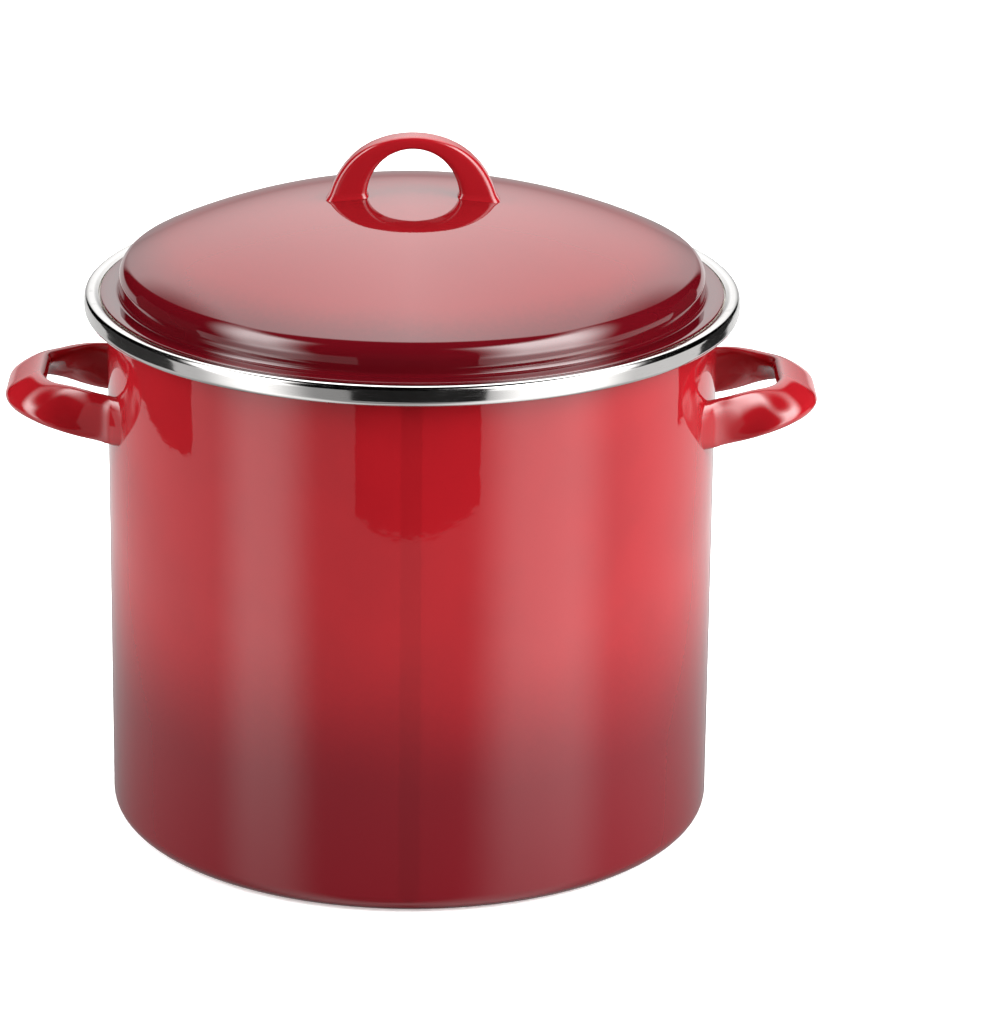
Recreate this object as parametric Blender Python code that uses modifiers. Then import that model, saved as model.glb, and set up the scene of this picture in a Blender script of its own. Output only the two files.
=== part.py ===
"""Enamelled steel water bath canner: pot, steel rim band, lid, and a wire jar rack with folding handles.

Metres, +Z up. The pot's axis is Z, its base stands on z = 0, and its side handles point along +X and -X.
Each piece that lifts or swings has its origin, or its parent empty, on its joint's axis.
"""

import math

import bmesh
import bpy
from mathutils import Matrix, Vector

# Driving dimensions
POT_RADIUS = 0.130  # outside of the wall
POT_HEIGHT = 0.2323  # top of the lip, which the lid sits on
SHEET = 0.0012  # enamelled steel sheet of the pot and the lid
GAP = 0.0003  # between pieces that touch or are welded

# Pot: base corner, lip and its edge, which is turned down
BASE_CORNER = 0.0074
LIP_BEND = 0.0014
LIP_RADIUS = 0.1376
LIP_EDGE_BEND = 0.0022
LIP_EDGE_DROP = 0.0052

# Rim band: a thin steel C-section clipped round the lip's edge
BAND_SHEET = 0.0006
BAND_RADIUS = 0.1392
BAND_INNER_RADIUS = 0.1336
BAND_CROWN_Z = 0.2338
BAND_FOOT_Z = 0.2256
BAND_FOOT_RADIUS = 0.1364
BAND_LEAD_IN = 0.0017
BAND_CROWN_BEND = 0.003
BAND_TOP_BEND = 0.0022
BAND_FOOT_BEND = 0.0012

# Lid: a shallow dome on an upright wall, with a flange that lies on the lip
LID_WALL_RADIUS = 0.1241
LID_FLANGE_RADIUS = 0.1321
LID_DOME_RISE = 0.0300  # of the dome above its corner with the wall
LID_WALL_HEIGHT = 0.0114
LID_SHOULDER_BEND = 0.0074
LID_FOOT_BEND = 0.0020
DOME_END = 0.92  # share of the wall's radius where the dome meets the shoulder

# Lid handle: an upright bow between two half ellipses
BOW_HALF_SPAN = 0.0338
BOW_TOE = 0.0022  # how much further each foot's outer edge reaches
BOW_TOE_FADE = 3  # power by which the toe fades with height
BOW_HEIGHT = 0.0255
BOW_OPENING_HALF_SPAN = 0.0196
BOW_OPENING_HEIGHT = 0.0208
BOW_DEPTH = 0.0120
BOW_EDGE = 0.0021
BOW_GAP = 0.0004  # under the feet

# Side handles: a strap, upright at the wall and leaning outwards at the grip
STRAP_WIDTH = (0.0212, 0.0195)  # at the wall and at the nose
STRAP_THICKNESS = (0.0056, 0.0080)
STRAP_SIDE_POWER = 0.6  # under 1 makes the section's broad sides flatter
STRAP_EDGE_POWER = 0.8  # under 1 makes its edges fuller
STRAP_LEAN = math.radians(58)  # of the nose
STRAP_LEAN_SPAN = (0.15, 0.95)  # shares of the reach over which the lean grows
STRAP_FLARE = 0.0055  # radius of the foot that spreads on the wall
STRAP_FOOT_STATIONS = (0, 0.0010, 0.0025, 0.0045, 0.0070, 0.0150)
STRAP_SPLAY = 0.24  # how fast the legs close in
STRAP_BEND = 0.0215
STRAP_REACH = 0.1645  # of the grip's middle, from the pot's axis
STRAP_ROOT_X = 0.1255
STRAP_ROOT_SPREAD = 0.0372
STRAP_ROOT_Z = 0.1853
STRAP_GRIP_Z = 0.1925

# Jar rack, of round wire
WIRE = 0.0015
RIM_WIRE = 0.00175
BAIL_WIRE = 0.0016
BARS_Z = 0.0128
HUB_RADIUS = 0.022
BASE_RING_RADIUS = 0.098
DIVIDER_TAIL = 0.016
DIVIDER_INNER = 0.042
DIVIDER_OUTER = 0.1162
DIVIDER_TOP_Z = 0.086
DIVIDER_BEND = 0.0045
TOP_RING_RADIUS = 0.1190
TOP_RING_Z = 0.085
DIVIDERS = 6
FEET = 3
FOOT_HALF_SPAN = 0.012
FOOT_BEND = 0.0035

# Lifting handles of the rack, hooked round its top ring
BAIL_HALF_WIDTH = 0.037
BAIL_LENGTH = 0.108
BAIL_EYE = 0.0045
BAIL_EYE_TURN = math.radians(265)
BAIL_BEND = 0.009

# Fineness
TURNED_STEPS = 48
HUB_STEPS = 24
INNER_RING_STEPS = 32
DOME_RINGS = 6
ARC_STEPS = 3
BAND_ARC_STEPS = 2
STRAP_ARC_STEPS = 6
STRAP_SIDES = 12
BOW_STEPS = 14
EYE_STEPS = 8
WIRE_SIDES = 8
WIRE_BEVEL = 2
MERGE_DISTANCE = 0.0001
SHARP_ANGLE = math.radians(50)

COLOURS = {
    "red_enamel": ((0.42, 0.010, 0.016), 0.12, 0.0),
    "steel_band": ((0.62, 0.62, 0.62), 0.15, 1.0),
    "rack_wire": ((0.60, 0.60, 0.61), 0.22, 1.0),
}


def clear_scene():
    for obj in list(bpy.data.objects):
        bpy.data.objects.remove(obj)


def new_collection(name):
    collection = bpy.data.collections.new(name)
    bpy.context.scene.collection.children.link(collection)
    return collection


def new_material(name):
    colour, roughness, metallic = COLOURS[name]
    material = bpy.data.materials.new(name)
    material.use_nodes = True
    shader = material.node_tree.nodes["Principled BSDF"]
    shader.inputs["Base Color"].default_value = (*colour, 1)
    shader.inputs["Roughness"].default_value = roughness
    shader.inputs["Metallic"].default_value = metallic
    return material


def finish(obj, material, parent=None):
    """Puts a piece in the canner's collection with its material, keeping its place under its parent."""
    for owner in list(obj.users_collection):
        owner.objects.unlink(obj)
    canner.objects.link(obj)
    obj.data.materials.append(material)
    if parent:
        obj.parent = parent
        obj.matrix_parent_inverse = parent.matrix_world.inverted()
    return obj


def pivot(name, place):
    """An empty on a joint's axis, for the pieces that move with it."""
    empty = bpy.data.objects.new(name, None)
    canner.objects.link(empty)
    empty.location = place
    bpy.context.view_layer.update()
    return empty


def rounded(corners, steps=ARC_STEPS):
    """Points of a line through (a, b, bend radius) corners, each bend an arc. The ends have no bend."""
    points = []
    for i, (a, b, bend) in enumerate(corners):
        here = Vector((a, b))
        if bend == 0:
            points.append(here)
            continue
        back = (Vector(corners[i - 1][:2]) - here).normalized()
        ahead = (Vector(corners[i + 1][:2]) - here).normalized()
        half = back.angle(ahead) / 2
        centre = here + (back + ahead).normalized() * bend / math.sin(half)
        start = here + back * bend / math.tan(half) - centre
        sweep = (math.pi - 2 * half) * (1 if back.cross(ahead) < 0 else -1)
        for k in range(steps + 1):
            turn = Matrix.Rotation(sweep * k / steps, 2)
            points.append(centre + turn @ start)
    return points


def turned(name, profile, thickness, material, parent=None):
    """A sheet shell: the (radius, height) profile of its middle, turned round Z and given its thickness."""
    mesh = bpy.data.meshes.new(name)
    edges = [(i, i + 1) for i in range(len(profile) - 1)]
    mesh.from_pydata([(r, 0, z) for r, z in profile], edges, [])
    obj = bpy.data.objects.new(name, mesh)
    screw = obj.modifiers.new("turn", "SCREW")
    screw.steps = TURNED_STEPS
    screw.render_steps = TURNED_STEPS
    screw.use_merge_vertices = True
    screw.merge_threshold = MERGE_DISTANCE
    screw.use_smooth_shade = True
    shell = obj.modifiers.new("sheet", "SOLIDIFY")
    shell.thickness = thickness
    shell.offset = 0
    shell.use_even_offset = True
    return finish(obj, material, parent)


def wire(name, points, radius, material, parent=None, closed=False):
    """A round wire along straight runs between the points."""
    curve = bpy.data.curves.new(name, "CURVE")
    curve.dimensions = "3D"
    curve.bevel_depth = radius
    curve.bevel_resolution = WIRE_BEVEL
    curve.use_fill_caps = True
    spline = curve.splines.new("POLY")
    spline.points.add(len(points) - 1)
    for point, place in zip(spline.points, points):
        point.co = (*place, 1)
    spline.use_cyclic_u = closed
    obj = bpy.data.objects.new(name, curve)
    return finish(obj, material, parent)


def ring(name, radius, z, wire_radius, steps, material, parent):
    """A wire hoop round the pot's axis."""
    bpy.ops.mesh.primitive_torus_add(
        location=(0, 0, z),
        major_radius=radius,
        minor_radius=wire_radius,
        major_segments=steps,
        minor_segments=WIRE_SIDES,
    )
    obj = bpy.context.object
    obj.name = name
    obj.data.shade_smooth()
    return finish(obj, material, parent)


# Pot


def make_pot_shell(material):
    middle = POT_RADIUS - SHEET / 2
    lip_z = POT_HEIGHT - SHEET / 2
    corners = [
        (LIP_RADIUS, lip_z - LIP_EDGE_DROP, 0),
        (LIP_RADIUS, lip_z, LIP_EDGE_BEND),
        (middle, lip_z, LIP_BEND),
        (middle, SHEET / 2, BASE_CORNER),
        (0, SHEET / 2, 0),
    ]
    return turned("pot_shell", rounded(corners), SHEET, material)


def make_rim_band(material):
    corners = [
        (BAND_INNER_RADIUS, POT_HEIGHT + GAP + BAND_SHEET / 2, 0),
        (BAND_INNER_RADIUS + BAND_LEAD_IN, BAND_CROWN_Z, BAND_CROWN_BEND),
        (BAND_RADIUS, BAND_CROWN_Z, BAND_TOP_BEND),
        (BAND_RADIUS, BAND_FOOT_Z, BAND_FOOT_BEND),
        (BAND_FOOT_RADIUS, BAND_FOOT_Z, 0),
    ]
    return turned("rim_band", rounded(corners, BAND_ARC_STEPS), BAND_SHEET, material)


def strap_path():
    """Plan of a side handle's middle line on the +X side, root to root."""
    half = [Vector((STRAP_ROOT_X + clear, 0)) for clear in STRAP_FOOT_STATIONS]
    for point in half:
        point.y = STRAP_ROOT_SPREAD - STRAP_SPLAY * (point.x - STRAP_ROOT_X)
    corner_spread = STRAP_ROOT_SPREAD - STRAP_SPLAY * (STRAP_REACH - STRAP_ROOT_X)
    corners = [
        (half[-1].x, half[-1].y, 0),
        (STRAP_REACH, corner_spread, STRAP_BEND),
        (STRAP_REACH, 0, 0),
    ]
    half += rounded(corners, STRAP_ARC_STEPS)[1:]
    return half + [Vector((point.x, -point.y)) for point in reversed(half[:-1])]


def strap_ring(loft, before, here, after):
    """One section of the strap: a flat oval, leaning outwards at the nose and flared into a foot at the wall."""
    is_root = before is None or after is None
    clear = 0 if is_root else min(here.length - POT_RADIUS, STRAP_FLARE)
    share = (here.x - STRAP_ROOT_X) / (STRAP_REACH - STRAP_ROOT_X)
    rise = (STRAP_GRIP_Z - STRAP_ROOT_Z) * share
    centre = Vector((*here, STRAP_ROOT_Z + rise))
    square_on = Vector((math.copysign(1, here.y), 0, 0))
    along = square_on
    if not is_root:
        ahead = ((here - before).normalized() + (after - here).normalized()).normalized()
        along = square_on.lerp(ahead.to_3d(), clear / STRAP_FLARE).normalized()
    lean_start, lean_end = STRAP_LEAN_SPAN
    turn_out = max(0, min((share - lean_start) / (lean_end - lean_start), 1))
    turn_out = turn_out * turn_out * (3 - 2 * turn_out)
    lean = Matrix.Rotation(STRAP_LEAN * turn_out, 3, along)
    outward = lean @ Vector((0, 0, 1)).cross(along).normalized()
    across = outward.cross(along)
    flare = STRAP_FLARE - math.sqrt(STRAP_FLARE**2 - (STRAP_FLARE - clear) ** 2)
    width, thickness = [foot + (nose - foot) * turn_out for foot, nose in (STRAP_WIDTH, STRAP_THICKNESS)]
    ring_verts = []
    for k in range(STRAP_SIDES):
        angle = 2 * math.pi * k / STRAP_SIDES
        bulge = math.copysign(abs(math.cos(angle)) ** STRAP_SIDE_POWER, math.cos(angle)) * thickness / 2
        bulge += flare * max(math.cos(angle), 0)
        height = math.copysign(abs(math.sin(angle)) ** STRAP_EDGE_POWER, math.sin(angle)) * width / 2
        place = centre + outward * bulge + across * height
        if is_root:
            place.x = math.sqrt((POT_RADIUS + GAP) ** 2 - place.y**2)
        ring_verts.append(loft.verts.new(place))
    return ring_verts


def make_side_handle(name, side, material):
    """A strap lofted round a loop in plan. side is 1 on +X and -1 on -X."""
    loft = bmesh.new()
    path = strap_path()
    rings = [strap_ring(loft, *points) for points in zip([None] + path, path, path[1:] + [None])]
    for here, there in zip(rings, rings[1:]):
        for k in range(STRAP_SIDES):
            after = (k + 1) % STRAP_SIDES
            loft.faces.new((here[k], here[after], there[after], there[k]))
    loft.faces.new(rings[0])
    loft.faces.new(rings[-1])
    bmesh.ops.transform(loft, matrix=Matrix.Diagonal((side, side, 1, 1)), verts=loft.verts)
    bmesh.ops.recalc_face_normals(loft, faces=loft.faces)
    mesh = bpy.data.meshes.new(name)
    loft.to_mesh(mesh)
    loft.free()
    mesh.shade_smooth()
    mesh.set_sharp_from_angle(angle=SHARP_ANGLE)
    obj = bpy.data.objects.new(name, mesh)
    return finish(obj, material)


# Lid


def dome_z(radius):
    """Height of the lid's middle surface above z = 0, at a distance from the axis."""
    sphere = (LID_WALL_RADIUS**2 + LID_DOME_RISE**2) / (2 * LID_DOME_RISE)
    corner_z = POT_HEIGHT + GAP + SHEET / 2 + LID_WALL_HEIGHT
    return corner_z + LID_DOME_RISE - sphere + math.sqrt(sphere**2 - radius**2)


def make_lid_shell(material, parent):
    seat = POT_HEIGHT + GAP + SHEET / 2
    step = DOME_END * LID_WALL_RADIUS / DOME_RINGS
    corners = [(step * i, dome_z(step * i), 0) for i in range(DOME_RINGS + 1)]
    corners += [
        (LID_WALL_RADIUS, dome_z(LID_WALL_RADIUS), LID_SHOULDER_BEND),
        (LID_WALL_RADIUS, seat, LID_FOOT_BEND),
        (LID_FLANGE_RADIUS, seat, 0),
    ]
    return turned("lid_shell", rounded(corners), SHEET, material, parent)


def make_lid_handle(material, parent):
    """The bow's outline in the XZ plane, given its depth along Y, with rounded edges."""
    curve = bpy.data.curves.new("lid_handle", "CURVE")
    curve.dimensions = "2D"
    curve.fill_mode = "BOTH"
    curve.extrude = BOW_DEPTH / 2 - BOW_EDGE
    curve.bevel_depth = BOW_EDGE
    curve.bevel_resolution = 1
    curve.offset = -BOW_EDGE
    foot = SHEET / 2 + BOW_GAP
    outline = []
    for i in range(BOW_STEPS + 1):
        turn = math.pi * i / BOW_STEPS
        toe = math.copysign(BOW_TOE * (1 - math.sin(turn)) ** BOW_TOE_FADE, math.cos(turn))
        outline.append((BOW_HALF_SPAN * math.cos(turn) + toe, BOW_HEIGHT * math.sin(turn)))
    for i in range(BOW_STEPS + 1):
        turn = math.pi * (1 - i / BOW_STEPS)
        outline.append((BOW_OPENING_HALF_SPAN * math.cos(turn), BOW_OPENING_HEIGHT * math.sin(turn)))
    spline = curve.splines.new("POLY")
    spline.points.add(len(outline) - 1)
    for point, (x, height) in zip(spline.points, outline):
        base = dome_z(abs(x)) + foot
        crown = dome_z(0) + foot
        share = height / BOW_HEIGHT
        point.co = (x, base + (crown - base) * share + height, 0, 1)
    spline.use_cyclic_u = True
    obj = bpy.data.objects.new("lid_handle", curve)
    obj.rotation_euler = (math.pi / 2, 0, 0)
    return finish(obj, material, parent)


# Jar rack


def make_rings(material, parent):
    low_z = BARS_Z - 2 * WIRE - GAP
    inner_radius = DIVIDER_INNER - 2 * WIRE - GAP
    inner_z = DIVIDER_TOP_Z - DIVIDER_BEND - 2 * WIRE
    ring("rack_hub_ring", HUB_RADIUS, low_z, WIRE, HUB_STEPS, material, parent)
    ring("rack_base_ring", BASE_RING_RADIUS, low_z, WIRE, TURNED_STEPS, material, parent)
    ring("rack_inner_ring", inner_radius, inner_z, WIRE, INNER_RING_STEPS, material, parent)
    ring("rack_top_ring", TOP_RING_RADIUS, TOP_RING_Z, RIM_WIRE, TURNED_STEPS, material, parent)


def make_dividers(material, parent):
    """Six bent wires. Each runs out under the jars, up at the wall, back over the top and down to its bar."""
    corners = [
        (DIVIDER_TAIL, BARS_Z, 0),
        (DIVIDER_OUTER, BARS_Z, DIVIDER_BEND),
        (DIVIDER_OUTER, DIVIDER_TOP_Z, DIVIDER_BEND),
        (DIVIDER_INNER, DIVIDER_TOP_Z, DIVIDER_BEND),
        (DIVIDER_INNER, BARS_Z + WIRE + GAP, 0),
    ]
    outline = rounded(corners)
    for k in range(DIVIDERS):
        turn = math.pi / DIVIDERS + 2 * math.pi * k / DIVIDERS
        points = [(out * math.cos(turn), out * math.sin(turn), z) for out, z in outline]
        wire(f"rack_divider_{k + 1}", points, WIRE, material, parent)


def make_feet(material, parent):
    """Short U-shaped wires under the base ring, which stand on the pot's floor."""
    floor_z = SHEET + GAP + WIRE
    top_z = BARS_Z - 2 * WIRE - GAP - WIRE - GAP
    corners = [
        (-FOOT_HALF_SPAN, top_z, 0),
        (-FOOT_HALF_SPAN, floor_z, FOOT_BEND),
        (FOOT_HALF_SPAN, floor_z, FOOT_BEND),
        (FOOT_HALF_SPAN, top_z, 0),
    ]
    outline = rounded(corners)
    for k in range(FEET):
        turn = Matrix.Rotation(2 * math.pi * k / FEET, 3, "Z")
        points = [turn @ Vector((BASE_RING_RADIUS, along, z)) for along, z in outline]
        wire(f"rack_foot_{k + 1}", points, WIRE, material, parent)


def bail_axis_x():
    """Distance of a lifting handle's hinge axis from the pot's axis."""
    return math.sqrt(TOP_RING_RADIUS**2 - BAIL_HALF_WIDTH**2)


def make_bail(name, side, material, parent):
    """A lifting handle folded over the rack: an open eye round the top ring, a leg, the grip and back."""
    eye = []
    for k in range(EYE_STEPS):
        turn = math.pi / 2 - BAIL_EYE_TURN * (1 - k / EYE_STEPS)
        eye.append((-BAIL_EYE * math.cos(turn), -BAIL_HALF_WIDTH, BAIL_EYE * math.sin(turn)))
    corners = [
        (0, -BAIL_HALF_WIDTH, 0),
        (BAIL_LENGTH, -BAIL_HALF_WIDTH, BAIL_BEND),
        (BAIL_LENGTH, BAIL_HALF_WIDTH, BAIL_BEND),
        (0, BAIL_HALF_WIDTH, 0),
    ]
    middle = [(inward, along, BAIL_EYE) for inward, along in rounded(corners)]
    other_eye = [(inward, -along, height) for inward, along, height in reversed(eye)]
    points = []
    for inward, along, height in eye + middle + other_eye:
        x = side * (bail_axis_x() - inward)
        points.append((x, side * along, TOP_RING_Z + height))
    return wire(name, points, BAIL_WIRE, material, parent)


clear_scene()
canner = new_collection("water_bath_canner")

red_enamel = new_material("red_enamel")
steel_band = new_material("steel_band")
rack_wire = new_material("rack_wire")

make_pot_shell(red_enamel)
make_rim_band(steel_band)
make_side_handle("left_handle", -1, red_enamel)
make_side_handle("right_handle", 1, red_enamel)

lid_pivot = pivot("lid_lift_axis", (0, 0, POT_HEIGHT))
make_lid_shell(red_enamel, lid_pivot)
make_lid_handle(red_enamel, lid_pivot)

rack_pivot = pivot("rack_lift_axis", (0, 0, SHEET))
make_rings(rack_wire, rack_pivot)
make_dividers(rack_wire, rack_pivot)
make_feet(rack_wire, rack_pivot)
for bail_name, bail_side in (("rack_left_bail", -1), ("rack_right_bail", 1)):
    hinge = pivot(f"{bail_name}_axis", (bail_side * bail_axis_x(), 0, TOP_RING_Z))
    make_bail(bail_name, bail_side, rack_wire, hinge)
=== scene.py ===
# Looks of the water bath canner: enamel, steel band, wire jar rack, studio light and camera.
import math

import bmesh
import bpy
from mathutils import Matrix, Vector


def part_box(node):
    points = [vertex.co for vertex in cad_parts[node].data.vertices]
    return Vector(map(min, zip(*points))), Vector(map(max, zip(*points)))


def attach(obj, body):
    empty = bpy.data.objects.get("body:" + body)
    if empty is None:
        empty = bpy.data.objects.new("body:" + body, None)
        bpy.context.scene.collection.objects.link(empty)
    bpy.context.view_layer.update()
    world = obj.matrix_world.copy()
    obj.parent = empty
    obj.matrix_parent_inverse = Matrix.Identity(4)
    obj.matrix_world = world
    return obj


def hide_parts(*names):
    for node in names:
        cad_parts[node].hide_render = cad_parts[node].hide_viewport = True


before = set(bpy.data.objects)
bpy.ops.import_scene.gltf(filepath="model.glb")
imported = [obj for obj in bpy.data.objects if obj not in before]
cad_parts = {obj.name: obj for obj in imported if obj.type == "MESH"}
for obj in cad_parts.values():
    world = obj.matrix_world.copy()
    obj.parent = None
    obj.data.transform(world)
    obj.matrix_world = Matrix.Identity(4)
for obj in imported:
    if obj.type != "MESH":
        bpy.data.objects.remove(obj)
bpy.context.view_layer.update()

potLow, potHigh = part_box("pot_shell")
bandLow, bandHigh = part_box("rim_band")
lidLow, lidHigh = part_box("lid_shell")
bowLow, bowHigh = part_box("lid_handle")
hoopLow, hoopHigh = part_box("rack_top_ring")
print("frame loaded")


# ---- shader maths

class Tap:  # one socket of a node tree, which takes + - * / and **
    def __init__(self, nodes, socket):
        self.nodes = nodes
        self.socket = socket

    def calc(self, operation, *others):
        return self.nodes.node("ShaderNodeMath", {"operation": operation}, dict(enumerate([self, *others])))

    def __add__(self, other):
        return self.calc("ADD", other)

    def __sub__(self, other):
        return self.calc("SUBTRACT", other)

    def __mul__(self, other):
        return self.calc("MULTIPLY", other)

    def __truediv__(self, other):
        return self.calc("DIVIDE", other)

    def __pow__(self, other):
        return self.calc("POWER", other)

    def __rsub__(self, other):
        return self.nodes.node("ShaderNodeMath", {"operation": "SUBTRACT"}, {0: other, 1: self})

    __radd__ = __add__
    __rmul__ = __mul__

    def clamped(self):
        return self.nodes.node("ShaderNodeClamp", {}, {0: self})

    def ramp(self, low, high):  # 0 below low, 1 above high, eased between
        settings = {"interpolation_type": "SMOOTHSTEP"}
        return self.nodes.node("ShaderNodeMapRange", settings, {0: self, 1: low, 2: high, 3: 0.0, 4: 1.0})


class Nodes:  # builds a node tree; every node but the first ones comes through node()
    def __init__(self, tree, placeFrom):
        self.tree = tree
        self.place = self.node("ShaderNodeTexCoord", {}, {}, placeFrom)

    def node(self, kind, settings=None, sockets=None, out=0):
        made = self.tree.nodes.new(kind)
        for key, value in (settings or {}).items():
            setattr(made, key, value)
        for key, value in (sockets or {}).items():
            if isinstance(value, Tap):
                self.tree.links.new(value.socket, made.inputs[key])
            else:
                made.inputs[key].default_value = value
        return Tap(self, made.outputs[out])

    def mix(self, share, under, over):  # colours
        under, over = [(*c, 1) if isinstance(c, tuple) else c for c in (under, over)]
        return self.node("ShaderNodeMix", {"data_type": "RGBA"}, {0: share, 6: under, 7: over}, 2)

    def axis(self, name):
        return self.node("ShaderNodeSeparateXYZ", {}, {0: self.place}, name)

    def fromAxis(self):  # distance from the pot's upright axis
        x, y = self.axis("X"), self.axis("Y")
        return (x * x + y * y) ** 0.5


class Finish(Nodes):  # a material being put together round its Principled shader
    def __init__(self, name, **fixed):
        self.material = bpy.data.materials.new(name)
        self.material.use_nodes = True
        super().__init__(self.material.node_tree, "Object")
        self.shader = self.tree.nodes["Principled BSDF"]
        for socket, value in fixed.items():
            self.shader.inputs[socket.replace("_", " ")].default_value = value

    def noise(self, scale, detail=2.0, stretch=(1, 1, 1), roughness=0.5):
        place = self.node("ShaderNodeMapping", {}, {"Vector": self.place, "Scale": stretch})
        return self.node("ShaderNodeTexNoise", {}, {"Vector": place, "Scale": scale, "Detail": detail,
                                                    "Roughness": roughness})

    def bump(self, height, strength, distance, under=None):
        sockets = {"Height": height, "Strength": strength, "Distance": distance}
        if under:
            sockets["Normal"] = under
        return self.node("ShaderNodeBump", {}, sockets)

    def wear(self, **links):
        for socket, tap in links.items():
            self.tree.links.new(tap.socket, self.shader.inputs[socket.replace("_", " ")])
        return self.material


# ---- mesh helpers

def rounded(corners, steps):  # (a, b, bend radius) corners; the ends have no bend
    points = []
    for i, (a, b, bend) in enumerate(corners):
        here = Vector((a, b))
        if bend == 0:
            points.append(here)
            continue
        back = (Vector(corners[i - 1][:2]) - here).normalized()
        ahead = (Vector(corners[i + 1][:2]) - here).normalized()
        half = back.angle(ahead) / 2
        centre = here + (back + ahead).normalized() * bend / math.sin(half)
        start = here + back * bend / math.tan(half) - centre
        sweep = (math.pi - 2 * half) * (1 if back.cross(ahead) < 0 else -1)
        points += [centre + Matrix.Rotation(sweep * k / steps, 2) @ start for k in range(steps + 1)]
    return points


def spaced(points, longest):  # splits long straight runs
    split = [points[0]]
    for here, there in zip(points, points[1:]):
        count = max(1, math.ceil((there - here).length / longest))
        split += [here.lerp(there, k / count) for k in range(1, count + 1)]
    return split


def sheetOutline(middle, thickness, roundEnd=False):  # both faces of a sheet, down its left side and back
    sides = [[], []]
    for before, here, after in zip([middle[0]] + middle, middle, middle[1:] + [middle[-1]]):
        along = ((here - before).normalized() + (after - here).normalized()).normalized()
        mitre = max(along.dot((after - here).normalized() if here != after else along), 0.5)
        across = Vector((-along.y, along.x)) * thickness / 2 / mitre
        sides[0].append(here + across)
        sides[1].append(here - across)
    if roundEnd:
        tip = (middle[-1] - middle[-2]).normalized() * thickness / 2
        nose = [middle[-1] + Matrix.Rotation(-math.pi * (k / 6 - 0.5), 2) @ tip for k in range(1, 6)]
        return sides[0], nose, sides[1]
    return sides[0], [], sides[1]


def turned(outline, insideFrom, steps=192):  # spins an outline of (radius, height) points round Z
    shape = bmesh.new()
    inside = shape.verts.layers.float.new("inside")
    verts = [shape.verts.new((point.x, 0, point.y)) for point in outline]
    for i, vert in enumerate(verts):
        vert[inside] = 1.0 if i >= insideFrom else 0.0
    edges = [shape.edges.new(pair) for pair in zip(verts, verts[1:])]
    if outline[0].x > 1e-6:
        edges.append(shape.edges.new((verts[-1], verts[0])))
    bmesh.ops.spin(shape, geom=verts + edges, axis=(0, 0, 1), angle=math.tau, steps=steps, use_merge=True)
    bmesh.ops.remove_doubles(shape, verts=shape.verts, dist=1e-6)
    bmesh.ops.recalc_face_normals(shape, faces=shape.faces)
    return shape


def lofted(shape, rings, closed=False):  # extrudes one ring after another
    count = len(rings[0])
    made = bmesh.ops.create_circle(shape, segments=count, radius=0.001)["verts"]
    edges = list({edge for vert in made for edge in vert.link_edges})
    order = walkRound(made)
    for vert, place in zip(order, rings[0]):
        vert.co = place
    first, firstEdges = order, edges
    for ring in rings[1:]:
        grown = bmesh.ops.extrude_edge_only(shape, edges=edges)["geom"]
        edges = [item for item in grown if isinstance(item, bmesh.types.BMEdge) and len(item.link_faces) == 1]
        fresh = {item for item in grown if isinstance(item, bmesh.types.BMVert)}
        order = [next(edge.other_vert(vert) for edge in vert.link_edges if edge.other_vert(vert) in fresh)
                 for vert in order]
        for vert, place in zip(order, ring):
            vert.co = place
    if closed:
        bmesh.ops.bridge_loops(shape, edges=edges + firstEdges)
    else:
        bmesh.ops.contextual_create(shape, geom=edges)
        bmesh.ops.contextual_create(shape, geom=firstEdges)


def squared(wave, power):  # a sine or cosine made fuller, for sections squarer than an ellipse
    return math.copysign(abs(wave) ** power, wave)


def walkRound(verts):  # a circle's verts in order
    order = [verts[0]]
    while len(order) < len(verts):
        step = [edge.other_vert(order[-1]) for edge in order[-1].link_edges]
        order.append(next(vert for vert in step if vert not in order[-2:]))
    return order


def wireRun(shape, points, radius, sides=14, closed=False):  # a round wire along smooth points
    count = len(points)
    rings = []
    lastUp = None
    for i, here in enumerate(points):
        before = points[(i - 1) % count] if closed or i else here
        after = points[(i + 1) % count] if closed or i < count - 1 else here
        along = (after - before).normalized()
        up = lastUp or (Vector((0, 0, 1)) if abs(along.z) < 0.9 else Vector((1, 0, 0)))
        side = along.cross(up).normalized()
        up = side.cross(along).normalized()
        lastUp = up
        turns = [math.tau * k / sides for k in range(sides)]
        rings.append([here + (side * math.cos(turn) + up * math.sin(turn)) * radius for turn in turns])
    if not closed:  # eased ends
        for end, inward in ((0, 1), (-1, -2)):
            centre = points[end]
            out = (centre - points[inward]).normalized()
            rim = [centre + (place - centre) * 0.72 for place in rings[end]]
            rings[end] = [place - out * radius * 0.3 for place in rings[end]]
            if end == 0:
                rings.insert(0, rim)
            else:
                rings.append(rim)
    lofted(shape, rings, closed)


def newPiece(name, shape, body, finish, standsFor=()):
    bmesh.ops.recalc_face_normals(shape, faces=shape.faces)
    mesh = bpy.data.meshes.new(name)
    shape.to_mesh(mesh)
    shape.free()
    mesh.materials.append(finish)
    mesh.shade_smooth()
    mesh.set_sharp_from_angle(angle=math.radians(60))
    piece = bpy.data.objects.new(name, mesh)
    bpy.context.scene.collection.objects.link(piece)
    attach(piece, body)
    if standsFor:
        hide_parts(*standsFor)
    return piece


# ---- finishes

enamel = {
    "red": (0.240, 0.0060, 0.0095),
    "burgundy": (0.112, 0.0029, 0.0066),
    "lid": (0.152, 0.0040, 0.0062),
    "rim": (0.066, 0.0018, 0.0040),
    "fadeTop": 0.128, "fadeFoot": 0.052,  # heights where the wall's fade starts and ends
    "lidFade": (0.098, 0.124),  # radii where the lid's fade starts and ends
    "cream": (0.62, 0.58, 0.50),
    "speck": (0.30, 0.25, 0.20),
}


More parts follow.
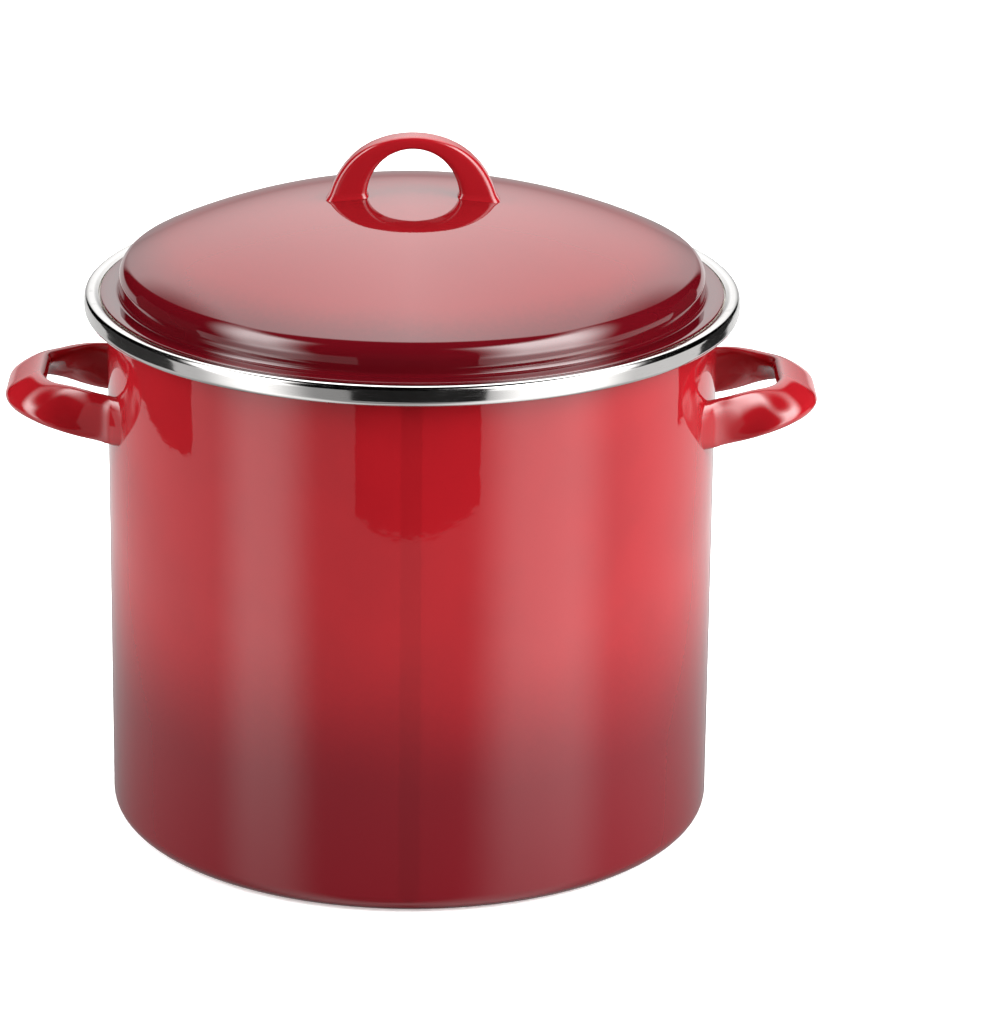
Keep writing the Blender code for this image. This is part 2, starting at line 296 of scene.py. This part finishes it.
def enamelFinish(name, fade, light, dark, peel):  # peel: strength of the orange peel
    made = Finish(name, IOR=1.52)
    cloud = made.noise(9.0, 3.0)
    grain = made.noise(900.0, 2.0)
    burgundy = fade(made, cloud)
    colour = made.mix(burgundy, light, dark)
    depth = made.noise(26.0, 4.0).ramp(0.35, 0.75)  # thicker and thinner enamel
    colour = made.mix(depth * 0.16, colour, (0.10, 0.003, 0.005))
    pits = made.noise(2300.0, 1.0).ramp(0.70, 0.78)  # tiny pores
    colour = made.mix(pits * 0.30, colour, (0.05, 0.002, 0.003))
    inside = made.node("ShaderNodeAttribute", {"attribute_name": "inside"}, {}, "Fac").ramp(0.45, 0.55)
    specks = made.noise(1500.0, 1.0).ramp(0.66, 0.70)
    lining = made.mix(specks * 0.65, enamel["cream"], enamel["speck"])
    lining = made.mix(made.noise(14.0, 3.0).ramp(0.45, 0.8) * 0.25, lining, (0.50, 0.45, 0.37))
    colour = made.mix(inside, colour, lining)
    flow = made.noise(60.0, 2.0) * 0.7 + made.noise(210.0, 2.0) * 0.3  # orange peel
    skin = made.bump(flow, peel, 0.00030)
    skin = made.bump(grain, 0.05, 0.00004, skin)
    handled = made.noise(5.0, 4.0).ramp(0.50, 0.80)  # faint film of handling
    roughness = 0.035 + handled * 0.035 + pits * 0.10 + inside * 0.06
    made.wear(Base_Color=colour, Roughness=roughness, Normal=skin)
    return made


def wallFade(made, cloud):
    height = made.axis("Z") + (cloud - 0.5) * 0.022
    spray = (made.noise(420.0, 2.0) - 0.5) * 0.010
    return 1.0 - (height + spray).ramp(enamel["fadeFoot"], enamel["fadeTop"])


def lidFade(made, cloud):
    outward = made.fromAxis() + (cloud - 0.5) * 0.014 + (made.noise(420.0, 2.0) - 0.5) * 0.006
    return outward.ramp(*enamel["lidFade"])


def handleFade(made, cloud):
    return (cloud - 0.42) * 0.25


potEnamel = enamelFinish("pot_enamel", wallFade, enamel["red"], enamel["burgundy"], 0.22)
lidEnamel = enamelFinish("lid_enamel", lidFade, enamel["lid"], enamel["rim"], 0.05)
gripEnamel = enamelFinish("handle_enamel", handleFade, enamel["red"], enamel["burgundy"], 0.10)


def steelFinish(name, colour, roughness, brushing):
    made = Finish(name, Metallic=1.0)
    cloud = made.noise(38.0, 3.0)
    lines = made.noise(1.0, 2.0, brushing, 0.6)
    scratches = made.noise(1.0, 1.0, tuple(4 * b for b in brushing)).ramp(0.62, 0.70)
    tint = made.mix(cloud.ramp(0.35, 0.75) * 0.5, colour, tuple(c * 0.86 for c in colour))
    tint = made.mix(scratches * 0.25, tint, tuple(c * 0.6 for c in colour))
    skin = made.bump(lines, 0.10, 0.00006)
    skin = made.bump(cloud, 0.10, 0.00020, skin)
    rough = roughness + lines * 0.06 + cloud.ramp(0.5, 0.8) * 0.08 + scratches * 0.10
    made.wear(Base_Color=tint, Roughness=rough, Normal=skin)
    return made.material


bandSteel = steelFinish("band_steel", (0.52, 0.51, 0.50), 0.06, (30.0, 30.0, 2600.0))
rackNickel = steelFinish("rack_nickel", (0.50, 0.49, 0.47), 0.13, (700.0, 700.0, 700.0))


def weldFinish():
    made = Finish("weld_nickel", Metallic=1.0)
    scale = made.noise(1700.0, 3.0)
    tint = made.mix(scale.ramp(0.35, 0.65), (0.56, 0.54, 0.51), (0.33, 0.31, 0.29))
    made.wear(Base_Color=tint, Roughness=0.22 + scale * 0.25, Normal=made.bump(scale, 0.6, 0.0002))
    return made.material


weldNickel = weldFinish()
print("finishes made")


# ---- pot

pot = {
    "wall": 0.130, "sheet": 0.0012, "corner": 0.0074, "lip": 0.1376, "lipDrop": 0.0052,
    "lipBend": 0.0016, "lipEdgeBend": 0.0022, "baseDish": 0.0005, "dishRadius": 0.104, "dishEase": 0.006,
    "dishBend": 0.02,
}


def makePot():
    middle = pot["wall"] - pot["sheet"] / 2
    lipZ = potHigh.z - pot["sheet"] / 2
    floorZ = potLow.z + pot["sheet"] / 2
    dish = pot["baseDish"]
    corners = [
        (0, floorZ + dish, 0),
        (pot["dishRadius"] - pot["dishEase"], floorZ + dish, pot["dishBend"]),
        (pot["dishRadius"], floorZ, pot["dishBend"]),
        (middle, floorZ, pot["corner"]),
        (middle, lipZ, pot["lipBend"]),
        (pot["lip"], lipZ, pot["lipEdgeBend"]),
        (pot["lip"], lipZ - pot["lipDrop"], 0),
    ]
    path = spaced(rounded(corners, 12), 0.006)
    inner, nose, outer = sheetOutline(path, pot["sheet"])
    outline = outer + nose + inner[::-1]
    outline[0].x = outline[-1].x = 0
    shape = turned(outline, len(outer))
    return newPiece("pot_body", shape, "pot", potEnamel.material, ["pot_shell"])


makePot()


# ---- rim band

band = {
    "sheet": 0.0006, "width": 0.0056, "lead": 0.0017, "startGap": 0.0006, "tuck": 0.0030,
    "crownBend": 0.0028, "topBend": 0.0021, "footBend": 0.0023,
}


def makeBand():
    half = band["sheet"] / 2
    outer = bandHigh.x - half
    crown = bandHigh.z - half
    foot = bandLow.z + half
    inner = outer - band["width"]
    corners = [
        (inner, potHigh.z + band["startGap"], 0),
        (inner + band["lead"], crown, band["crownBend"]),
        (outer, crown, band["topBend"]),
        (outer, foot, band["footBend"]),
        (outer - band["tuck"], foot, 0),
    ]
    path = spaced(rounded(corners, 10), 0.001)
    left, nose, right = sheetOutline(path, band["sheet"], True)
    back = (path[1] - path[0]).normalized() * -half
    start = [path[0] + Matrix.Rotation(-math.pi * (k / 6 + 0.5), 2) @ back for k in range(1, 6)]
    outline = left + nose + right[::-1] + start
    return newPiece("rim_trim", turned(outline, len(outline)), "pot", bandSteel, ["rim_band"])


makeBand()


# ---- side handles

grip = {
    "width": (0.0212, 0.0195), "thickness": (0.0056, 0.0080), "lean": math.radians(58), "flare": 0.0055,
    "splay": 0.24, "bend": 0.0215, "reach": 0.1644, "rootX": 0.1255, "spread": 0.0372, "rootZ": 0.1853,
    "gripZ": 0.1925, "turnFrom": 0.15, "turnOver": 0.80, "flatSide": 0.6, "flatEdge": 0.8, "sink": 0.0004,
    "smoothings": 6, "sides": 40,
}


def gripPath():
    clear = [0, 0.0003, 0.0007, 0.0012, 0.0018, 0.0025, 0.0033, 0.0042, 0.0052, 0.0064, 0.0080, 0.0100]
    half = [Vector((grip["rootX"] + c, grip["spread"] - grip["splay"] * c)) for c in clear]
    cornerY = grip["spread"] - grip["splay"] * (grip["reach"] - grip["rootX"])
    corners = [(*half[-1], 0), (grip["reach"], cornerY, grip["bend"]), (grip["reach"], 0, 0)]
    half += spaced(rounded(corners, 16), 0.0016)[1:]
    return half + [Vector((point.x, -point.y)) for point in reversed(half[:-1])]


def gripRing(before, here, after):
    isRoot = before is None or after is None
    clear = 0 if isRoot else min(here.length - pot["wall"], grip["flare"])
    clear = max(clear, 0)
    share = (here.x - grip["rootX"]) / (grip["reach"] - grip["rootX"])
    centre = Vector((*here, grip["rootZ"] + (grip["gripZ"] - grip["rootZ"]) * share))
    along = Vector((math.copysign(1, here.y), 0, 0))
    if not isRoot:
        ahead = ((here - before).normalized() + (after - here).normalized()).normalized()
        along = along.lerp(ahead.to_3d(), clear / grip["flare"]).normalized()
    turnOut = max(0, min((share - grip["turnFrom"]) / grip["turnOver"], 1))
    turnOut = turnOut * turnOut * (3 - 2 * turnOut)
    lean = Matrix.Rotation(grip["lean"] * turnOut, 3, along)
    outward = lean @ Vector((0, 0, 1)).cross(along).normalized()
    across = outward.cross(along)
    flare = grip["flare"] - math.sqrt(grip["flare"] ** 2 - (grip["flare"] - clear) ** 2)
    width, thickness = [foot + (nose - foot) * turnOut for foot, nose in (grip["width"], grip["thickness"])]
    ring = []
    for k in range(grip["sides"]):
        angle = math.tau * k / grip["sides"]
        bulge = squared(math.cos(angle), grip["flatSide"]) * thickness / 2
        bulge += flare * max(math.cos(angle), 0)
        height = squared(math.sin(angle), grip["flatEdge"]) * width / 2
        place = centre + outward * bulge + across * height
        if isRoot:  # just inside the wall's enamel
            place.x = math.sqrt((pot["wall"] - grip["sink"]) ** 2 - place.y ** 2)
        ring.append(place)
    return ring


def makeGrip(name, side, node):
    path = gripPath()
    rings = [gripRing(*points) for points in zip([None] + path, path, path[1:] + [None])]
    shape = bmesh.new()
    lofted(shape, rings)
    free = [vert for vert in shape.verts if vert.co.to_2d().length > pot["wall"] + grip["flare"]]
    for again in range(grip["smoothings"]):
        bmesh.ops.smooth_vert(shape, verts=free, factor=0.5,
                              use_axis_x=True, use_axis_y=True, use_axis_z=True)
    bmesh.ops.transform(shape, matrix=Matrix.Diagonal((side, side, 1, 1)), verts=shape.verts)
    return newPiece(name, shape, "pot", gripEnamel.material, [node])


makeGrip("left_grip", -1, "left_handle")
makeGrip("right_grip", 1, "right_handle")
print("pot made")


# ---- lid

lid = {"wall": 0.1241, "sheet": 0.0012, "rise": 0.0300, "wallHeight": 0.0114, "shoulder": 0.0074,
       "footBend": 0.0022, "domeEnd": 0.93, "domeSteps": 30}


def domeZ(radius):  # middle of the lid's sheet
    sphere = (lid["wall"] ** 2 + lid["rise"] ** 2) / (2 * lid["rise"])
    cornerZ = lidLow.z + lid["sheet"] / 2 + lid["wallHeight"]
    return cornerZ + lid["rise"] - sphere + math.sqrt(sphere ** 2 - radius ** 2)


def makeLid():
    seat = lidLow.z + lid["sheet"] / 2
    edge = lidHigh.x
    last, steps = lid["domeEnd"] * lid["wall"], lid["domeSteps"]
    corners = [(last * i / steps, domeZ(last * i / steps), 0) for i in range(steps + 1)]
    corners += [
        (lid["wall"], domeZ(lid["wall"]), lid["shoulder"]),
        (lid["wall"], seat, lid["footBend"]),
        (edge, seat, 0),
    ]
    path = spaced(rounded(corners, 24), 0.003)
    outer, nose, inner = sheetOutline(path, lid["sheet"], True)
    outline = outer + nose + inner[::-1]
    outline[0].x = outline[-1].x = 0
    shape = turned(outline, len(outer) + len(nose))
    return newPiece("lid_dome", shape, "lid", lidEnamel.material, ["lid_shell"])


makeLid()


# ---- lid handle

bow = {
    "halfSpan": 0.0338, "toe": 0.0022, "openHalfSpan": 0.0196, "openHeight": 0.0200, "flare": 0.0022,
    "flareOut": 0.5, "flareDeep": 0.3, "flatSide": 0.46, "flatEdge": 0.40,
    "sink": 0.0008, "gap": 0.0004, "stations": 72, "sides": 36,
}


def makeBow():
    base = lid["sheet"] / 2 + bow["gap"]
    height = bowHigh.z - domeZ(0) - base
    depth = bowHigh.y - bowLow.y
    crown = domeZ(0) + base
    rings = []
    for i in range(bow["stations"] + 1):
        turn = math.pi * i / bow["stations"]
        toe = math.copysign(bow["toe"] * (1 - math.sin(turn)) ** 3, math.cos(turn))
        outX = bow["halfSpan"] * math.cos(turn) + toe
        inX = bow["openHalfSpan"] * math.cos(turn)
        share = math.sin(turn)
        low = domeZ(abs(outX)) + base - bow["sink"]
        outZ = low + (crown - low) * share + height * share
        low = domeZ(abs(inX)) + base - bow["sink"]
        inZ = low + (crown - low) * share + bow["openHeight"] * share
        middle = Vector(((outX + inX) / 2, 0, (outZ + inZ) / 2))
        half = Vector((outX - inX, 0, outZ - inZ)) / 2
        above = min(middle.z - low, bow["flare"])
        flare = bow["flare"] - math.sqrt(bow["flare"] ** 2 - (bow["flare"] - max(above, 0)) ** 2)
        ring = []
        for k in range(bow["sides"]):
            angle = math.tau * k / bow["sides"]
            thick = squared(math.cos(angle), bow["flatSide"])
            deep = squared(math.sin(angle), bow["flatEdge"])
            halfDepth = depth / 2 - bow["gap"] + flare * bow["flareDeep"]
            ring.append(middle + half * thick * (1 + flare * bow["flareOut"] / half.length)
                        + Vector((0, deep * halfDepth, 0)))
        rings.append(ring)
    shape = bmesh.new()
    lofted(shape, rings)
    return newPiece("lid_bow", shape, "lid", gripEnamel.material, ["lid_handle"])


makeBow()
print("lid made")


# ---- jar rack

rack = {
    "wire": 0.0015, "hoopWire": 0.00175, "bailWire": 0.0016, "gap": 0.0003, "barsZ": 0.0128,
    "tail": 0.016, "inner": 0.042, "outer": 0.1162, "topZ": 0.086, "bend": 0.0045, "dividers": 6,
    "feet": 3, "footHalfSpan": 0.012, "footBend": 0.0035, "baseRing": 0.098,
    "bailHalfWidth": 0.037, "bailLength": 0.108, "bailEye": 0.0045, "bailBend": 0.009,
    "eyeTurn": math.radians(265), "eyeSteps": 24,
}


def hoop(name, node, wireRadius, count=120):
    low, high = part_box(node)
    radius = high.x - wireRadius
    z = (low.z + high.z) / 2
    points = [Vector((radius * math.cos(math.tau * k / count), radius * math.sin(math.tau * k / count), z))
              for k in range(count)]
    shape = bmesh.new()
    wireRun(shape, points, wireRadius, closed=True)
    return newPiece(name, shape, "rack", rackNickel, [node])


for hoopName, hoopNode in (("hub_hoop", "rack_hub_ring"), ("base_hoop", "rack_base_ring"),
                           ("inner_hoop", "rack_inner_ring")):
    hoop(hoopName, hoopNode, rack["wire"])
hoop("top_hoop", "rack_top_ring", rack["hoopWire"], 192)


def makeDividers():
    corners = [
        (rack["tail"], rack["barsZ"], 0),
        (rack["outer"], rack["barsZ"], rack["bend"]),
        (rack["outer"], rack["topZ"], rack["bend"]),
        (rack["inner"], rack["topZ"], rack["bend"]),
        (rack["inner"], rack["barsZ"] + rack["wire"] + rack["gap"], 0),
    ]
    outline = spaced(rounded(corners, 8), 0.006)
    for k in range(rack["dividers"]):
        turn = math.pi / rack["dividers"] + math.tau * k / rack["dividers"]
        points = [Vector((p.x * math.cos(turn), p.x * math.sin(turn), p.y)) for p in outline]
        shape = bmesh.new()
        wireRun(shape, points, rack["wire"])
        newPiece(f"divider_wire_{k + 1}", shape, "rack", rackNickel, [f"rack_divider_{k + 1}"])


makeDividers()


def makeFeet():
    low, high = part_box("rack_foot_1")
    floorZ = low.z + rack["wire"]
    half = rack["footHalfSpan"]
    corners = [(-half, high.z, 0), (-half, floorZ, rack["footBend"]), (half, floorZ, rack["footBend"]),
               (half, high.z, 0)]
    outline = spaced(rounded(corners, 8), 0.004)
    for k in range(rack["feet"]):
        turn = Matrix.Rotation(math.tau * k / rack["feet"], 3, "Z")
        shape = bmesh.new()
        wireRun(shape, [turn @ Vector((rack["baseRing"], p.x, p.y)) for p in outline], rack["wire"])
        newPiece(f"foot_wire_{k + 1}", shape, "rack", rackNickel, [f"rack_foot_{k + 1}"])


makeFeet()


def makeBail(name, side, body, node):
    hoopRadius = hoopHigh.x - rack["hoopWire"]
    hoopZ = (hoopLow.z + hoopHigh.z) / 2
    hingeX = math.sqrt(hoopRadius ** 2 - rack["bailHalfWidth"] ** 2)
    half, length, bend = rack["bailHalfWidth"], rack["bailLength"], rack["bailBend"]
    eye = []
    for k in range(rack["eyeSteps"]):
        turn = math.pi / 2 - rack["eyeTurn"] * (1 - k / rack["eyeSteps"])
        eye.append((-rack["bailEye"] * math.cos(turn), -half, rack["bailEye"] * math.sin(turn)))
    corners = [(0, -half, 0), (length, -half, bend), (length, half, bend), (0, half, 0)]
    middle = [(p.x, p.y, rack["bailEye"]) for p in spaced(rounded(corners, 12), 0.006)]
    otherEye = [(inward, -along, high) for inward, along, high in reversed(eye)]
    points = [Vector((side * (hingeX - inward), side * along, hoopZ + high))
              for inward, along, high in eye + middle + otherEye]
    shape = bmesh.new()
    wireRun(shape, points, rack["bailWire"])
    return newPiece(name, shape, body, rackNickel, [node])


makeBail("left_bail_wire", -1, "left_bail", "rack_left_bail")
makeBail("right_bail_wire", 1, "right_bail", "rack_right_bail")


weld = {"half": 0.0019, "halfHeight": 0.0010, "sink": 0.0002, "belowTop": 0.0022}


def makeWelds():  # small squashed beads where wires cross
    shape = bmesh.new()
    low = rack["barsZ"] - rack["wire"] - rack["gap"] / 2
    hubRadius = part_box("rack_hub_ring")[1].x - rack["wire"]
    innerLow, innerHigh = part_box("rack_inner_ring")
    innerRadius = innerHigh.x - rack["wire"]
    spots = []
    for k in range(rack["dividers"]):
        turn = math.pi / rack["dividers"] + math.tau * k / rack["dividers"]
        spots += [
            (turn, hubRadius, low),
            (turn, rack["baseRing"], low),
            (turn, (innerRadius + rack["inner"]) / 2, (innerLow.z + innerHigh.z) / 2),
            (turn, rack["inner"], rack["barsZ"] + rack["wire"] + weld["sink"]),
            (turn, rack["outer"] + weld["sink"], rack["topZ"] - weld["belowTop"]),
        ]
    for k in range(rack["feet"]):
        for way in (-1, 1):
            turn = math.tau * k / rack["feet"] + way * math.asin(rack["footHalfSpan"] / rack["baseRing"])
            spots.append((turn, rack["baseRing"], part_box("rack_foot_1")[1].z + weld["sink"]))
    for turn, radius, z in spots:
        place = Vector((radius * math.cos(turn), radius * math.sin(turn), z))
        size = Matrix.Diagonal((weld["half"], weld["half"], weld["halfHeight"], 1))
        bmesh.ops.create_uvsphere(shape, u_segments=14, v_segments=9, radius=1,
                                  matrix=Matrix.Translation(place) @ size)
    return newPiece("rack_welds", shape, "rack", weldNickel)


makeWelds()
print("rack made")


# ---- floor, light and camera

studio = {
    "floor": (0.90, 0.90, 0.90), "floorHalf": 6.0, "floorGlow": 0.30,
    "distance": 2.100, "elevation": math.radians(19.743), "roll": math.radians(0.321),
    "aimZ": 0.120, "turnRight": 0.01836, "tiltUp": 0.00430, "lens": 168.2,
}


def staged(name, shape, material):
    mesh = bpy.data.meshes.new(name)
    shape.to_mesh(mesh)
    shape.free()
    mesh.materials.append(material)
    card = bpy.data.objects.new(name, mesh)
    bpy.context.scene.collection.objects.link(card)
    return card


def makeFloor():
    made = Finish("floor_card", Roughness=0.85)
    tone = made.noise(3.0, 2.0)
    made.wear(Base_Color=made.mix(tone * 0.06, studio["floor"], (0.86, 0.86, 0.86)))
    made.shader.inputs["Emission Color"].default_value = (1, 1, 1, 1)
    made.shader.inputs["Emission Strength"].default_value = studio["floorGlow"]  # a table lit from below
    shape = bmesh.new()
    bmesh.ops.create_grid(shape, x_segments=2, y_segments=2, size=studio["floorHalf"],
                          matrix=Matrix.Translation((0, 0, potLow.z - 0.0002)))
    floor = staged("studio_floor", shape, made.material)
    floor.visible_glossy = False  # the sky's lower half stands for it in reflections
    floor.visible_diffuse = False


makeFloor()


# The light comes from all round: two tall soft boxes in front, one bright sweep behind and overhead, and a
# white table, with a dark room between them. Azimuths are from the front, positive to the right.
boxes = {
    "left": {"azimuth": -57, "rise": (-78, 48), "full": 3, "none": 22,
             "table": 1.5, "foot": 6.2, "top": 10.0},
    "right": {"azimuth": 52, "rise": (66, 50), "full": 8, "none": 31,
              "table": 1.8, "foot": 8.8, "top": 13.0},
}
sweep = {"side": (0.35, 0.44), "front": (0.20, 0.34), "fall": 0.8, "horizon": 0.48, "rise": 4.3}
table = {"front": 0.45, "left": 0.85, "right": 1.08, "back": 0.42}


def heading(azimuth, elevation):
    turn, lift = math.radians(azimuth), math.radians(elevation)
    return Vector((math.sin(turn) * math.cos(lift), -math.cos(turn) * math.cos(lift), math.sin(lift)))


def makeSky():
    world = bpy.data.worlds.new("studio_sky")
    bpy.context.scene.world = world
    world.use_nodes = True
    sky = Nodes(world.node_tree, "Generated")
    x, y, z = sky.axis("X"), sky.axis("Y"), sky.axis("Z")
    lifted = z.calc("MAXIMUM", 0.0)
    above = z.ramp(-0.03, 0.03)
    light = 0.0
    for box in boxes.values():
        foot = heading(box["azimuth"], 0)
        across = foot.cross(heading(*box["rise"])).normalized()
        off = (x * across.x + y * across.y + lifted * across.z).calc("ABSOLUTE")
        shape = 1.0 - off.ramp(math.sin(math.radians(box["full"])), math.sin(math.radians(box["none"])))
        shape = shape * (x * foot.x + y * foot.y).ramp(0.0, 0.2)
        power = box["table"] + (box["foot"] - box["table"]) * z.ramp(-0.30, 0.0)
        power = power + (box["top"] - box["foot"]) * z.ramp(0.15, 0.70)
        light = shape * power * (1.0 - z.ramp(0.76, 0.88)) + light
    aside = x.calc("ABSOLUTE")
    behind = (1.0 - aside.ramp(*sweep["side"])) * (1.0 - aside * sweep["fall"]) * y.ramp(*sweep["front"])
    light = light + behind * above * (sweep["horizon"] + lifted * sweep["rise"])
    flat = (x * x + y * y) ** 0.5
    side, front = x / flat, y / flat * -1.0
    flank = table["left"] + (table["right"] - table["left"]) * side.ramp(-0.1, 0.1)
    low = table["front"] + (flank - table["front"]) * (1.0 - front.ramp(0.20, 0.94))
    low = low + (table["back"] - low) * (front * -1.0).ramp(0.965, 0.995)
    light = light + low * (1.0 - above)
    shade = world.node_tree.nodes["Background"]
    shade.inputs["Color"].default_value = (1.0, 1.0, 1.0, 1)
    world.node_tree.links.new(light.socket, shade.inputs["Strength"])


makeSky()


def softbox(name, azimuth, height, away, size, power):
    data = bpy.data.lights.new(name, "AREA")
    data.shape = "RECTANGLE"
    data.size, data.size_y = size
    data.energy = power
    lamp = bpy.data.objects.new(name, data)
    turn = math.radians(azimuth)
    lamp.location = (away * math.sin(turn), -away * math.cos(turn), height)
    lamp.rotation_euler = (Vector((0, 0, 0.12)) - lamp.location).to_track_quat("-Z", "Y").to_euler()
    lamp.visible_glossy = False
    bpy.context.scene.collection.objects.link(lamp)


softbox("ceiling_softbox", 180, 1.6, 0.6, (1.4, 1.0), 2)
softbox("left_softbox", -100, 0.35, 1.3, (0.6, 0.9), 15)
softbox("right_softbox", 100, 0.35, 1.3, (0.6, 0.9), 10)


def reflectionCard(card):  # seen only in reflections
    card.visible_camera = False
    card.visible_diffuse = False
    card.visible_shadow = False
    card.visible_transmission = False


def darkCard(name, low, high, height):  # a near-black card standing on the floor between two plan points, seen only in reflections: painted dark reflections
    made = Finish(name, Roughness=0.9)
    tone = made.noise(8.0, 2.0)
    made.wear(Base_Color=made.mix(tone, (0.002, 0.002, 0.002), (0.006, 0.006, 0.006)))
    low, high = Vector((*low, 0)), Vector((*high, 0))
    middle = (low + high) / 2 + Vector((0, 0, height / 2))
    turn = math.atan2(high.y - low.y, high.x - low.x)
    stand = Matrix.Rotation(turn, 4, "Z") @ Matrix.Rotation(math.pi / 2, 4, "X")
    shape = bmesh.new()
    size = Matrix.Diagonal(((high - low).length, height, 1, 1))
    bmesh.ops.create_grid(shape, x_segments=1, y_segments=1, size=0.5,
                          matrix=Matrix.Translation(middle) @ stand @ size)
    reflectionCard(staged(name, shape, made.material))


# painted reflections: these near-black cards put the dark room between the soft boxes into the enamel's and
# steel's reflections
darkCard("front_flag", (-0.200, -0.592), (0.251, -0.592), 0.50)
darkCard("left_flag", (-0.650, -0.090), (-0.640, 0.430), 0.42)
darkCard("right_flag", (0.626, 0.224), (0.520, 0.500), 0.41)


def tableShade():  # painted shadow: a black card seen only in reflections darkens the table towards the pot's foot, standing in for the pot's contact shadow
    made = Finish("table_shade", Roughness=1.0, Base_Color=(0, 0, 0, 1), Specular_IOR_Level=0.0)
    away = (made.fromAxis() - 0.130) / 0.29
    # painted shadow: the card grows more opaque nearer the pot's wall
    made.wear(Alpha=((1.0 - away) * 0.60).clamped())
    shape = bmesh.new()
    bmesh.ops.create_circle(shape, cap_ends=True, segments=64, radius=0.43,
                            matrix=Matrix.Translation((0, 0, potLow.z - 0.0001)))
    reflectionCard(staged("table_shade", shape, made.material))


tableShade()


def makeCamera():
    data = bpy.data.cameras.new("camera")
    data.lens = studio["lens"]
    data.clip_end = 50
    camera = bpy.data.objects.new("camera", data)
    bpy.context.scene.collection.objects.link(camera)
    aim = Vector((0, 0, studio["aimZ"]))
    tilt = studio["elevation"]
    camera.location = aim + studio["distance"] * Vector((0, -math.cos(tilt), math.sin(tilt)))
    forward = (aim - camera.location).normalized()
    right, up = Vector((1, 0, 0)), Vector((1, 0, 0)).cross(forward)
    roll = studio["roll"]
    right, up = right * math.cos(roll) + up * math.sin(roll), up * math.cos(roll) - right * math.sin(roll)
    forward = (forward + right * studio["turnRight"] + up * studio["tiltUp"]).normalized()
    right = forward.cross(up).normalized()
    up = right.cross(forward)
    camera.rotation_euler = Matrix((right, up, -forward)).transposed().to_euler()
    bpy.context.scene.camera = camera


makeCamera()
bpy.context.scene.view_settings.view_transform = "Standard"
print("studio set")
